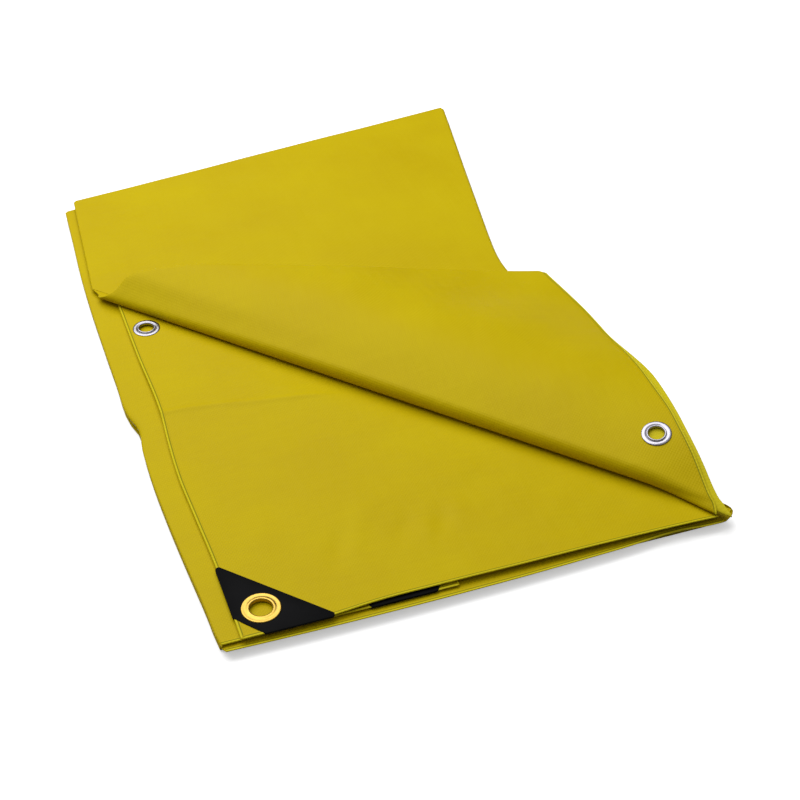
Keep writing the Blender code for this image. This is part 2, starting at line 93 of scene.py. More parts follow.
ROLL_START = np.array([2.4, 465.6, 0.0]) * MM
ROLL_ANGLE = math.radians(-47.6)
ROLL_RADIUS = 9 * MM
ROLL_END = math.radians(108.7)
ROLL_BASE = 14.2 * MM
FLAP_CREST = 14 * MM
FLAP_CREST_T = 65 * MM
FLAP_DROP = 26 * MM
FLAP_LENGTH = 227.5 * MM
FACE_DEPTH = 0.45 * MM          # the flap's two plies, below its outer face
UNDER_DEPTH = 2.4 * MM
PRESSED_FLAT = 0.42             # share of the roll's height lost at its left end
CORNER_FLAT = 0.55              # and at the sheet's corner
PRESSED_BACK = 0.35             # share of its overhang lost at its left end
CORNER_PUSH = 8.5 * MM          # how far its foot moves out at the sheet's corner
LEAD = 5.4 * MM                 # cloth that runs on to meet the rear plies
LEAD_SHIFT = 11 * MM
REAR_SETBACK = 5.5 * MM

BRASS_AT = np.array([37.6, 29.0]) * MM
SHORT_BRASS_AT = np.array([162.0, 29.0]) * MM
STEEL_LEFT_AT = np.array([32.8, 402.4]) * MM
STEEL_FLAP_ST = (539.7 * MM, 28 * MM)
# Eyelet radii and heights, in mm; the brass one in the front gap is pressed lower.
BRASS = {"flange": 15.2, "barrel": 9.2, "height": 1.1}
SHORT_BRASS = dict(BRASS, height=0.65)
STEEL = {"flange": 12.3, "barrel": 7.2, "height": 1.0}
PATCH_EXTRA = 5 * MM            # rounding takes about this much off each leg's sharp end
PATCH_LEGS = (70 * MM, 76 * MM)
PATCH_CUT = (18 * MM, 22 * MM)

# Flap edges along the roll, in mm: distance round the roll and over the flap,
# then the folded edge, the face ply's hem and the under ply's hem.
FLAP_STATIONS = np.array([
    (0.0, -1.0, 606.0, 617.0), (6.3, 0.6, 608.5, 620.0), (12.7, 6.0, 608.0, 619.0),
    (19.0, 12.0, 604.5, 613.0), (25.3, 16.5, 598.5, 605.5), (46.3, 26.5, 578.5, 584.0),
    (67.2, 55.5, 557.5, 563.0), (88.2, 90.0, 538.0, 544.5), (109.1, 131.5, 516.5, 526.0),
    (130.1, 166.5, 496.0, 506.0), (151.0, 197.0, 474.0, 481.0), (171.9, 223.5, 450.5, 455.0),
    (192.9, 250.0, 429.5, 432.5), (213.8, 279.0, 407.5, 409.5), (234.8, 313.0, 381.5, 383.0),
    (255.7, 348.0, 351.5, 352.0),
]) * MM

# Hand-folded edges: (position along the edge, position across it), in mm.
LEFT_EDGE = np.array([
    (0, 1.5), (16, -0.4), (46, -1.4), (99, -4.2), (150, -6.4), (200, -7.4), (240, -6.4),
    (268, -4.0), (286, -8.2), (342, -9.2), (404, -9.4), (454, -9.2), (505, -8.1),
    (577, -4.2), (629.5, -1.6)]) * MM
FACE_EDGE = np.array([
    (4, 16.2), (84, 16.8), (145, 14.9), (191, 13.6), (240, 15.4), (277, 17.8), (365, 16.4),
    (443, 16.0), (640, 16.0)]) * MM
FACE_NEAR_EDGE = np.array([
    (16, 4.6), (86, 5.6), (124, 8.6), (170, 9.0), (261, 8.6), (371, 7.5), (405, 6.4)]) * MM
BASE_NEAR_EDGE = np.array([
    (0, 1.4), (59, 0.0), (211, 0.2), (320, 3.6), (372, 6.6), (400, 4.4), (424, 5.0)]) * MM
CREASE = np.array([(0, 277), (55, 273.5), (103, 264), (161, 254), (212, 241), (300, 220)]) * MM


# ---- Curves and fields ----
def along(table, at, column=1):
    """Smooth interpolation through a table's rows."""
    xs = table[:, 0]
    ys = table[:, column]
    slope = np.gradient(ys, xs)
    at = np.clip(np.asarray(at, float), xs[0], xs[-1])
    i = np.clip(np.searchsorted(xs, at) - 1, 0, len(xs) - 2)
    span = xs[i + 1] - xs[i]
    t = (at - xs[i]) / span
    return ((2 * t**3 - 3 * t**2 + 1) * ys[i] + (t**3 - 2 * t**2 + t) * span * slope[i]
            + (3 * t**2 - 2 * t**3) * ys[i + 1] + (t**3 - t**2) * span * slope[i + 1])


def ramp(value, low, high):
    """A smooth step from 0 at low to 1 at high, which may be the smaller."""
    t = np.clip((np.asarray(value, float) - low) / (high - low), 0.0, 1.0)
    return t * t * (3 - 2 * t)


def left_edge(y):
    return along(LEFT_EDGE, y)


def right_edge(y):
    away = np.asarray(y, float) - WAIST[1]
    return WAIST[0] + RIGHT_LEAN * away + RIGHT_SPREAD * np.hypot(away, WAIST_ROUND)


def rear_left_edge(y):
    part = (np.asarray(y, float) - REAR_LEFT_START[1]) / (FAR_LEFT[1] - REAR_LEFT_START[1])
    return REAR_LEFT_START[0] + part * (FAR_LEFT[0] - REAR_LEFT_START[0])


def far_line(x):
    part = (np.asarray(x, float) - FAR_LEFT[0]) / (FAR_RIGHT[0] - FAR_LEFT[0])
    return FAR_LEFT[1] + part * (FAR_RIGHT[1] - FAR_LEFT[1])


def low_far_line(x):
    """The two lowest plies were folded a little short of the far fold."""
    return LOW_FAR_START[1] + (np.asarray(x, float) - LOW_FAR_START[0]) * LOW_FAR_SLOPE


ROLL_ALONG = np.array([math.cos(ROLL_ANGLE), math.sin(ROLL_ANGLE), 0.0])
ROLL_AWAY = np.array([-math.sin(ROLL_ANGLE), math.cos(ROLL_ANGLE), 0.0])
ROLL_Z = ROLL_BASE + ROLL_RADIUS
ROLL_ARC = ROLL_RADIUS * (math.radians(270) - ROLL_END)
FLAP_START_T = ROLL_RADIUS * math.cos(ROLL_END)
FLAP_START_Z = ROLL_Z + ROLL_RADIUS * math.sin(ROLL_END)
FLAP_END_W = ROLL_ARC + FLAP_LENGTH - FLAP_START_T


def roll_t(x, y):
    """Distance behind the diagonal roll's line."""
    return (x - ROLL_START[0]) * ROLL_AWAY[0] + (y - ROLL_START[1]) * ROLL_AWAY[1]


def roll_y(x, t):
    """The y of the line at distance t behind the roll's line."""
    return ROLL_START[1] + (t - (x - ROLL_START[0]) * ROLL_AWAY[0]) / ROLL_AWAY[1]


def unevenness(x, y):
    """Long, shallow waves over the whole stack, from -1 to 1."""
    return (0.5 * np.sin(23 * x + 11 * y + 1.3) + 0.3 * np.sin(41 * y - 17 * x + 0.4)
            + 0.2 * np.sin(63 * x + 37 * y + 2.2))


def settle(points, amount=TOP_UNEVEN):
    """Let a stack of plies follow the same gentle unevenness, more so near the top.

    The stack stays flat under the two stiff corner patches.
    """
    x = points[..., 0]
    y = points[..., 1]
    patched = np.hypot(np.maximum(x - 190 * MM, 0), np.maximum(y - 90 * MM, 0))
    lift = amount * np.clip(points[..., 2] / REAR_OUTER_Z, 0, 1.2)
    points[..., 2] += lift * (unevenness(x, y) - 0.4) * ramp(patched, 0, 60 * MM)
    return points


FACE_DIMPLES = (                # x, y, half-width across, half-width along, angle, depth (mm)
    (112, 72, 9, 26, 62, -1.0), (128, 80, 8, 24, 66, 0.7), (166, 76, 8, 20, 58, -0.9),
    (184, 66, 7, 16, 70, 0.7), (196, 74, 8, 20, 60, -0.9), (214, 84, 9, 18, 75, 0.5),
    (150, 108, 12, 34, 20, 0.6), (240, 108, 14, 40, 30, -0.5), (90, 150, 18, 50, 15, -0.5),
    (60, 110, 12, 34, 80, 0.4), (290, 60, 12, 30, 40, 0.5), (330, 40, 10, 24, 30, -0.4),
)


def face_relief(x, y):
    """Crease and dimples of the face ply, fading out under the roll."""
    away = y - along(CREASE, x)
    ridge = np.where(away < 0, np.exp(away / (20 * MM)), np.exp(-away / (46 * MM)))
    ridge = 2.4 * ridge + 0.55 * np.exp(-(away / (2.4 * MM))**2)
    relief = MM * ridge * ramp(x, 320 * MM, 200 * MM)
    for cx, cy, across, length, angle, depth in FACE_DIMPLES:
        c = math.cos(math.radians(angle))
        s = math.sin(math.radians(angle))
        dx = x - cx * MM
        dy = y - cy * MM
        lengthwise = (dx * c + dy * s) / (length * MM)
        crosswise = (dy * c - dx * s) / (across * MM)
        relief = relief + depth * MM * np.exp(-lengthwise**2 - crosswise**2)
    return relief * ramp(roll_t(x, y), -14 * MM, -40 * MM)


# ---- Flap surface ----
def flap_profile(w):
    """Distance from the roll's line, height and slope at distance w round the roll."""
    w = np.asarray(w, float)
    turn = math.radians(270) - np.clip(w, 0, ROLL_ARC) / ROLL_RADIUS
    t = ROLL_RADIUS * np.cos(turn)
    z = ROLL_Z + ROLL_RADIUS * np.sin(turn)
    slope = turn - math.pi / 2
    lead = w < 0
    t = np.where(lead, -w, t)
    over = w > ROLL_ARC
    to = FLAP_START_T + (w - ROLL_ARC)
    rise_span = FLAP_CREST_T - FLAP_START_T
    rise = math.pi / 2 * np.clip((to - FLAP_START_T) / rise_span, 0, 1)
    fall_span = FLAP_LENGTH - FLAP_CREST_T
    fall = math.pi * np.clip((to - FLAP_CREST_T) / fall_span, 0, 1)
    zo = FLAP_START_Z + FLAP_CREST * np.sin(rise) - FLAP_DROP * (1 - np.cos(fall)) / 2
    so = np.arctan(FLAP_CREST * math.pi / 2 / rise_span * np.cos(rise) * (to < FLAP_CREST_T)
                   - FLAP_DROP / 2 * math.pi / fall_span * np.sin(fall))
    return np.where(over, to, t), np.where(over, zo, z), np.where(over, so, slope)


def flap_waves(s, w):
    """Slack in the turned-back cloth, measured along its outward normal."""
    slack = (0.9 * np.sin(19 * s + 26 * w + 0.4) + 0.5 * np.sin(47 * s - 31 * w + 2.0)
             + 0.35 * np.sin(83 * s + 12 * w + 1.0))
    return 0.8 * MM * slack * ramp(w, 20 * MM, 90 * MM) * ramp(w, FLAP_END_W, 170 * MM)


def flap_points(s, w, depth):
    """Points of the flap: s along the roll, w round and over it, depth under its face."""
    s, w, depth = np.broadcast_arrays(np.asarray(s, float), w, depth)
    t, z, slope = flap_profile(w)
    depth = depth - flap_waves(s, w)
    t = t + depth * np.sin(slope)
    z = z - depth * np.cos(slope)
    # The roll is pressed flat at its left end and tightens to the sheet's corner.
    pressed_end = ramp(s, 330 * MM, -20 * MM)
    corner_end = ramp(s, 540 * MM, 622 * MM)
    front = 1 - ramp(t, -9 * MM, 20 * MM)
    hold = 1 - ramp(t, -9 * MM, 46 * MM)
    z = ROLL_BASE + (z - ROLL_BASE) * (1 - PRESSED_FLAT * pressed_end * front
                                        - CORNER_FLAT * corner_end * hold)
    t = t - np.minimum(t, 0) * PRESSED_BACK * pressed_end
    t = t - CORNER_PUSH * corner_end * hold * ramp(z, ROLL_BASE + 8 * MM, ROLL_BASE)
    place = ROLL_START + s[..., None] * ROLL_ALONG + t[..., None] * ROLL_AWAY
    return np.concatenate([place[..., :2], z[..., None]], axis=-1)


# ---- Mesh builders ----
def shell(mid, uv, thickness):
    """A closed thin sheet about a grid of mid-surface points."""
    rows, columns = mid.shape[:2]
    across = np.gradient(mid, axis=1)
    lengthwise = np.gradient(mid, axis=0)
    normal = np.cross(across, lengthwise)
    normal /= np.maximum(np.linalg.norm(normal, axis=-1, keepdims=True), 1e-12)
    verts = np.concatenate([(mid + normal * thickness / 2).reshape(-1, 3),
                            (mid - normal * thickness / 2).reshape(-1, 3)])
    index = np.arange(rows * columns).reshape(rows, columns)
    a = index[:-1, :-1].ravel()
    b = index[:-1, 1:].ravel()
    c = index[1:, 1:].ravel()
    d = index[1:, :-1].ravel()
    top = np.stack([a, b, c, d], axis=1)
    under = top[:, ::-1] + rows * columns
    ring = np.concatenate([index[0, :-1], index[:-1, -1], index[-1, :0:-1], index[:0:-1, 0]])
    after = np.roll(ring, -1)
    rim = np.stack([ring + rows * columns, after + rows * columns, after, ring], axis=1)
    faces = np.concatenate([top, under, rim])
    return verts, faces, np.concatenate([uv.reshape(-1, 2)] * 2)


def linked(name, data):
    """A new object in the scene."""
    made = bpy.data.objects.new(name, data)
    bpy.context.scene.collection.objects.link(made)
    return made


def build(name, parts, kind, smooth=50):
    """One object from shells (vertices, quads, UVs), placed in the row frame."""
    starts = np.cumsum([0] + [len(verts) for verts, faces, uvs in parts])
    verts = np.concatenate([part[0] - ORIGIN for part in parts])
    faces = np.concatenate([part[1] + start for part, start in zip(parts, starts)])
    uvs = np.concatenate([part[2] for part in parts])
    mesh = bpy.data.meshes.new(name)
    mesh.from_pydata(verts.tolist(), [], faces.tolist())
    layer = mesh.uv_layers.new(name="cloth")
    layer.data.foreach_set("uv", uvs[faces.ravel()].astype(np.float32).ravel())
    mesh.shade_smooth()
    mesh.set_sharp_from_angle(angle=math.radians(smooth))
    made = linked(name, mesh)
    made.data.materials.append(MATERIALS[kind])
    return made


def distances(points):
    """Running length along a line of points."""
    steps = np.linalg.norm(np.diff(points, axis=0), axis=1)
    return np.concatenate([[0.0], np.cumsum(steps)])


def grid_uv(mid, v=None):
    """Cloth coordinates of a grid: length across it, and y or the given rows."""
    middle = mid[len(mid) // 2]
    u = np.broadcast_to(distances(middle), mid.shape[:2])
    v = mid[..., 1] if v is None else np.broadcast_to(np.asarray(v)[:, None], mid.shape[:2])
    return np.stack([u, v], axis=-1)


# ---- Plies ----
HALF_TURN = [-90 + 180 * k / 8 for k in range(9)]
NEAR_SETBACK = 12.7 * MM


def blend_rows(near, far, b):
    """A value part-way between two others."""
    return near + (far - near) * b


def ply(rows, columns, left, right, near, far, z, reverse=False):
    """A flat ply between two side curves, from a near line to a far line."""
    b = np.linspace(0, 1, rows)[:, None]
    a = np.linspace(0, 1, columns)[None, :]
    if reverse:
        a = a[:, ::-1]
    near_x = left(near(0.0)) + a * (right(near(0.3)) - left(near(0.0)))
    far_x = left(far(0.0)) + a * (right(far(0.42)) - left(far(0.0)))
    y = blend_rows(near(near_x), far(far_x), b)
    x = left(y) + a * (right(y) - left(y))
    return np.stack([x, y, np.broadcast_to(z, x.shape)], axis=-1)


def side_fold(rows, edge, side, reach, near, far, z_from, z_to, turns=HALF_TURN[1:-1]):
    """Cloth going round a side edge, from one ply's height to another's."""
    b = np.linspace(0, 1, rows)[:, None]
    turn = np.radians(np.asarray(turns, float))[None, :]
    share = (turn + math.pi / 2) / math.pi
    near_y = near[0] + (near[1] - near[0]) * share
    far_y = far[0] + (far[1] - far[0]) * share
    y = blend_rows(near_y, far_y, b)
    x = edge(y) - side * (reach[0] - reach[1] * np.cos(turn))
    z = (z_from + z_to) / 2 + (z_to - z_from) / 2 * np.sin(turn)
    return np.stack([x, y, np.broadcast_to(z, x.shape)], axis=-1)


def plan_uv(mid):
    """Cloth coordinates of flat plies: their plan position."""
    return mid[..., :2].copy()


def base_right(y):
    """Right edge of the lowest plies, standing out at the near-right corner."""
    part = (np.asarray(y, float) / (12 * MM))**2
    return right_edge(y) + 11.5 * MM * part * np.exp(1 - part)


def base_cloth():
    """Short ply, left fold, base ply and the fold up to the rear outer ply."""
    rows = 96

    def left(y):
        return left_edge(y) + 1.9 * MM

    def right(y):
        return base_right(y) - OUTER_INSET

    short = ply(rows, 34, left, lambda y: SHORT_RIGHT + 0 * y,
                lambda x: 6.4 * MM + 0 * x, lambda x: low_far_line(x) - SHORT_SETBACK,
                SHORT_Z, reverse=True)
    away = short[..., 1] - (277 * MM - 0.45 * (short[..., 0] + 8 * MM))
    crease = np.where(away < 0, np.exp(away / (12 * MM)), np.exp(-away / (20 * MM)))
    short[..., 2] += 0.9 * MM * crease
    near = (6.4 * MM, 2 * MM)
    far = (630 * MM - SHORT_SETBACK, 630 * MM - BASE_SETBACK)
    left_fold = side_fold(rows, left_edge, -1, (1.9 * MM, 1.7 * MM), near, far, SHORT_Z, BASE_Z)
    base = ply(rows, 56, left, right, lambda x: along(BASE_NEAR_EDGE, x),
               lambda x: low_far_line(x) - BASE_SETBACK, BASE_Z)
    outer_fold = side_fold(rows, base_right, 1, (OUTER_INSET, OUTER_INSET - 0.2 * MM),
                           (4.5 * MM, 24 * MM), (694 * MM, 698 * MM), BASE_Z, REAR_OUTER_Z,
                           HALF_TURN[1:])
    mid = settle(np.concatenate([short, left_fold, base, outer_fold], axis=1))
    return shell(mid, plan_uv(mid), CLOTH)


def face_cloth():
    """Face ply and the fold up to the rear inner ply."""
    rows = 360
    face = ply(rows, 104, lambda y: along(FACE_EDGE, y), lambda y: right_edge(y) - INNER_INSET,
               lambda x: along(FACE_NEAR_EDGE, x), lambda x: far_line(x) - FAR_INSET, FACE_Z)
    fold = side_fold(rows, right_edge, 1, (INNER_INSET, 0.8 * MM), (6.6 * MM, 36 * MM),
                     (694.5 * MM, 695 * MM), FACE_Z, REAR_INNER_Z, HALF_TURN[1:])
    face[..., 2] += face_relief(face[..., 0], face[..., 1])
    mid = settle(np.concatenate([face, fold], axis=1))
    return shell(mid, plan_uv(mid), CLOTH)


def rear_ply(rows, columns, left_in, right_in, z, reverse=False):
    """A ply behind the diagonal roll."""
    b = np.linspace(0, 1, rows)[:, None]
    a = np.linspace(0, 1, columns)[None, :]
    if reverse:
        a = a[:, ::-1]
    low_left = rear_left_edge(REAR_LEFT_START[1]) + left_in
    low_right = right_edge(REAR_RIGHT_Y) - right_in
    near_x = low_left + a * (low_right - low_left)
    far_right = right_edge(695 * MM) - right_in
    far_left = rear_left_edge(636 * MM) + left_in
    far_x = far_left + a * (far_right - far_left)
    near_y = roll_y(near_x, REAR_SETBACK)
    far_y = far_line(far_x) - FAR_INSET
    y = blend_rows(near_y, far_y, b)
    right_y = blend_rows(REAR_RIGHT_Y, far_line(far_right) - FAR_INSET, b)
    bow = right_edge(right_y) - right_in - blend_rows(low_right, far_right, b)
    x = blend_rows(near_x, far_x, b) + a * bow
    return np.stack([x, y, np.broadcast_to(z, x.shape)], axis=-1)


def rear_cloth():
    """Rear outer ply, its folded left edge and the rear inner ply."""
    rows = 110
    outer = rear_ply(rows, 90, 1.3 * MM, OUTER_INSET, REAR_OUTER_Z, reverse=True)
    fold = side_fold(rows, rear_left_edge, -1, (1.3 * MM, 1.1 * MM),
                     (REAR_LEFT_START[1], REAR_LEFT_START[1]), (636.4 * MM, 636.4 * MM),
                     REAR_OUTER_Z, REAR_INNER_Z)
    inner = rear_ply(rows, 40, 1.3 * MM, INNER_INSET, REAR_INNER_Z)
    mid = settle(np.concatenate([outer, fold, inner], axis=1))
    return shell(mid, plan_uv(mid), CLOTH)


def lower_cloth():
    """The bottom and middle lengths, joined round the near cross fold."""
    left_a = 1.6 * MM
    left_b = 2.9 * MM
    right_a = 8.2 * MM
    right_b = 9.6 * MM
    low = BOTTOM_LEVELS
    high = MIDDLE_LEVELS
    rows = 44
    ends = {"short": SHORT_SETBACK, "base": BASE_SETBACK}
    columns = []

    def add(edge_from, edge_to, first, last, share, reach=0.0, side=0.0):
        level = [blend_rows(levels[first], levels[last], (1 - math.cos(share * math.pi)) / 2)
                 for levels in (low, high)]
        bulge = side * reach * math.sin(share * math.pi)
        columns.append((edge_from, edge_to, share, level, bulge, first if share < 0.5 else last))

    def across(name, start, end, count):
        for k in range(count):
            level = (low[name], high[name])
            columns.append((start, end, k / (count - 1), level, 0.0, name))

    def turn(edge, first, last, reach, side):
        for k in range(1, 6):
            add(edge, edge, first, last, k / 6, reach, side)

    def left_1(y):
        return left_edge(y) + left_a

    def left_2(y):
        return left_edge(y) + left_b + 0.9 * MM * np.sin(31 * y)

    def right_1(y):
        return right_edge(y) - right_a

    def right_2(y):
        return right_edge(y) - right_b

    across("short", lambda y: SHORT_RIGHT + 0 * y, left_1, 12)
    turn(left_1, "short", "base", 0.6 * MM, -1)
    across("base", left_1, right_1, 24)
    turn(right_1, "base", "outer", 1.5 * MM, 1)
    across("outer", right_1, left_2, 24)
    turn(left_2, "outer", "inner", 0.5 * MM, -1)
    across("inner", left_2, right_2, 24)
    turn(right_2, "inner", "face", 0.5 * MM, 1)
    across("face", right_2, lambda y: FACE_LEFT + 0 * y, 24)
    length = np.linspace(0, 1, rows)
    around = np.radians(np.linspace(15, 165, 11))
    grid = []
    for start, end, share, level, bulge, name in columns:
        part = 0.0 if bulge else share
        x_far = start(600 * MM) + part * (end(600 * MM) - start(600 * MM))
        if name in ends:
            far = low_far_line(x_far) - ends[name]
        else:
            far = np.minimum(far_line(x_far) - FAR_INSET, low_far_line(x_far))
        y_run = NEAR_SETBACK + (far - NEAR_SETBACK) * length
        reach = 3 * MM * (level[1] - level[0]) / (high["base"] - low["base"])
        y = np.concatenate([y_run[::-1], NEAR_SETBACK - reach * np.sin(around), y_run])
        middle = (level[0] + level[1]) / 2
        half = (level[1] - level[0]) / 2
        z = np.concatenate([np.full(rows, level[0]), middle - half * np.cos(around),
                            np.full(rows, level[1])]) * MM
        held = np.maximum(y, NEAR_SETBACK)
        x = start(held) + part * (end(held) - start(held)) + bulge
        grid.append(np.stack([x, y, z], axis=-1))
    mid = settle(np.stack(grid, axis=1), LOWER_UNEVEN)
    run = distances(mid[:, 40])
    return shell(mid, grid_uv(mid, run), CLOTH * 0.9)


def far_turns():
    """Five nested turns of cloth at the far cross fold."""
    parts = []
    turns = (                   # upper height, lower height, line, set-back, reach, x range
        (REAR_OUTER_Z, MIDDLE_LEVELS["outer"], far_line, FAR_INSET, 4.4, (11.6, 429.8)),
        (REAR_INNER_Z, MIDDLE_LEVELS["inner"], far_line, FAR_INSET, 3.7, (12.0, 427.6)),
        (FACE_Z, MIDDLE_LEVELS["face"], far_line, FAR_INSET, 3.0, (16.2, 427.4)),
        (SHORT_Z, MIDDLE_LEVELS["short"], low_far_line, SHORT_SETBACK, 2.1, (0.5, 185.6)),
        (BASE_Z, MIDDLE_LEVELS["base"], low_far_line, BASE_SETBACK, 0.6, (0.7, 425.0)),
    )
    around = np.radians(np.linspace(0, 180, 15))[:, None]
    for upper, lower, line, setback, reach, (first, last) in turns:
        x = np.linspace(first, last, 60)[None, :] * MM
        top = settle(np.stack([x, line(x) - setback, upper + 0 * x], axis=-1))[..., 2]
        bottom = settle(np.stack([x, line(x) - setback, lower * MM + 0 * x], axis=-1),
                        LOWER_UNEVEN)[..., 2]
        y = line(x) - setback + reach * MM * np.sin(around) + 0.03 * MM
        z = (top + bottom) / 2 + (top - bottom) / 2 * np.cos(around)
        mid = np.stack([np.broadcast_to(x, z.shape), y, z], axis=-1)
        parts.append(shell(mid, plan_uv(mid) + np.stack(
            [0 * z, np.broadcast_to(around * reach * MM, z.shape)], axis=-1), CLOTH))
    return parts


def flap_cloth():
    """Both plies of the turned-back corner and the folded edge that joins them."""
    lead = np.array([-5.4, -3.6, -1.8]) * MM
    rows = np.concatenate([lead, np.linspace(0, ROLL_ARC, 19)[:-1],
                           np.linspace(ROLL_ARC, FLAP_END_W - 1.5 * MM, 74)])
    held = np.maximum(rows, 0)
    left = along(FLAP_STATIONS, held, 1)[:, None]
    left = left - LEAD_SHIFT * np.clip(-rows / LEAD, 0, 1)[:, None]
    face_right = along(FLAP_STATIONS, held, 2)[:, None]
    under_right = along(FLAP_STATIONS, held, 3)[:, None]
    w = rows[:, None]
    back = ramp(-w, 0, LEAD)
    face_depth = FACE_DEPTH + back * (REAR_INNER_Z - ROLL_BASE - FACE_DEPTH)
    under_depth = UNDER_DEPTH + FACE_DEPTH
    under_depth = under_depth + back * (REAR_OUTER_Z - ROLL_BASE - under_depth)
    a = np.linspace(0, 1, 96)[None, :]
    fold = 1.2 * MM
    inset = 0.35 * MM
    face_s = face_right - inset + a * (left + fold - face_right + inset)
    under_s = left + fold + a * (under_right - inset - left - fold)
    turn = np.radians(np.array(HALF_TURN[1:-1]))[None, :]
    turn_s = left + fold - fold * 0.85 * np.cos(turn)
    middle = (face_depth + under_depth) / 2
    turn_depth = middle + (under_depth - face_depth) / 2 * np.sin(turn)
    s = np.concatenate([face_s, turn_s, under_s], axis=1)
    depth = np.concatenate([np.broadcast_to(face_depth, face_s.shape), turn_depth,
                            np.broadcast_to(under_depth, under_s.shape)], axis=1)
    mid = flap_points(s, w, depth)
    uv = np.stack([s * ROLL_ALONG[0] - w * ROLL_AWAY[0],
                   s * ROLL_ALONG[1] - w * ROLL_AWAY[1]], axis=-1)
    return shell(mid, uv, CLOTH)


# ---- Hems ----
HEM_PROFILE = np.array([        # inwards from the edge, height, share of the bead (mm)
    (36, -0.37, 0), (24, -0.37, 0), (12, -0.37, 0), (4, -0.37, 0), (1.2, -0.37, 0),
    (0.2, -0.34, 0), (-0.2, -0.2, 0), (-0.34, 0.0, 0.1), (-0.24, 0.22, 0.4), (0.1, 0.38, 0.8),
    (0.45, 0.42, 1.0), (0.8, 0.40, 0.8), (1.1, 0.37, 0.3), (1.5, 0.34, 0.0), (3.0, 0.34, 0)])


def hem_reach(limit, bead):
    """How far in from the edge, and how high, each line of a hem runs."""
    reach = HEM_PROFILE[None, :, 0] * MM
    reach = np.where(reach > 0, np.minimum(reach, np.asarray(limit)[:, None]), reach)
    rise = HEM_PROFILE[None, :, 1] * MM
    rise = rise + HEM_PROFILE[None, :, 2] * np.asarray(bead)[:, None] * 0.3 * MM
    return reach, rise


def hem_shell(mid):
    """A hem's cloth, its texture measured from the edge and along it."""
    side = np.where(np.arange(len(HEM_PROFILE)) < 6, -1.0, 1.0)
    across = np.broadcast_to(HEM_PROFILE[:, 0] * MM * side, mid.shape[:2])
    run = np.broadcast_to(distances(mid[:, 7])[:, None], mid.shape[:2])
    return shell(mid, np.stack([across, run], axis=-1), HEM_CLOTH)


def flat_hem(xs, ys, z, inward, limit, bead, relief=None):
    """A hem along one edge of a flat ply, following that ply's relief."""
    reach, rise = hem_reach(np.maximum(limit, 0.4 * MM), bead)
    x = xs[:, None] + inward[0] * reach
    y = ys[:, None] + inward[1] * reach
    height = z + (relief(x, y) if relief is not None else 0 * x)
    mid = settle(np.stack([x, y, height], axis=-1))
    mid[..., 2] += rise
    return hem_shell(mid)


def top_hems():
    """Hems of the face, short and base plies."""
    made = {}
    y = np.linspace(5.2 * MM, 634 * MM, 200)
    bead = ramp(y, 74 * MM, 84 * MM) * ramp(y, 446 * MM, 430 * MM)
    made["face_left"] = flat_hem(along(FACE_EDGE, y) + 0.1 * MM, y, FACE_Z, (1, 0),
                                 np.minimum(HEM_WIDTH, y - 4.6 * MM), bead, face_relief)
    x = np.linspace(17 * MM, 403.5 * MM, 160)
    bead = ramp(x, 84 * MM, 92 * MM)
    made["face_near"] = flat_hem(x, along(FACE_NEAR_EDGE, x) + 0.1 * MM, FACE_Z, (0, 1),
                                 np.minimum(HEM_WIDTH, (x - 16.6 * MM) * 0.98), bead, face_relief)
    y = np.linspace(7.4 * MM, 640 * MM, 60)
    made["short_free"] = flat_hem(SHORT_RIGHT + 0 * y, y, SHORT_Z, (-1, 0),
                                  np.minimum(HEM_WIDTH, y - 6.4 * MM), ramp(y, 86 * MM, 96 * MM))
    x = np.linspace(1.5 * MM, SHORT_RIGHT - 1 * MM, 60)
    made["short_near"] = flat_hem(x, 6.5 * MM + 0 * x, SHORT_Z, (0, 1),
                                  np.minimum(HEM_WIDTH, (SHORT_RIGHT - 0.6 * MM - x) * 0.98),
                                  ramp(x, 116 * MM, 104 * MM))
    x = np.linspace(3.4 * MM, 409 * MM, 120)
    made["base_near"] = flat_hem(x, along(BASE_NEAR_EDGE, x) + 0.1 * MM, BASE_Z, (0, 1),
                                 np.full(x.shape, HEM_WIDTH), 0.3 + 0 * x)
    return made


def flap_hem(column, depth, side):
    """A hem along the flap's right-hand edge, folded to the inside of its ply."""
    w = np.concatenate([np.linspace(0, ROLL_ARC, 22)[:-1],
                        np.linspace(ROLL_ARC, FLAP_END_W - 2 * MM, 110)])
    s = along(FLAP_STATIONS, w, column)
    slant = 1 / np.cos(np.arctan(np.gradient(s, w)))
    room = (s - along(FLAP_STATIONS, w, 1)) / slant - 3 * MM
    reach, rise = hem_reach(np.clip(room, 0.5 * MM, HEM_WIDTH), 0.9 + 0 * w)
    mid = flap_points(s[:, None] - reach * slant[:, None], w[:, None], depth - side * rise)
    return hem_shell(mid)


# ---- Hardware ----
def solid(rings):
    """Vertices, quads and UVs of closed rings lofted into a loop of their own."""
    rings = np.asarray(rings, float)
    count, size = rings.shape[:2]
    index = np.arange(count * size).reshape(count, size)
    a = index
    b = np.roll(index, -1, axis=1)
    c = np.roll(b, -1, axis=0)
    d = np.roll(a, -1, axis=0)
    faces = np.stack([a.ravel(), b.ravel(), c.ravel(), d.ravel()], axis=1)
    verts = rings.reshape(-1, 3)
    return verts, faces, verts[:, :2].copy()


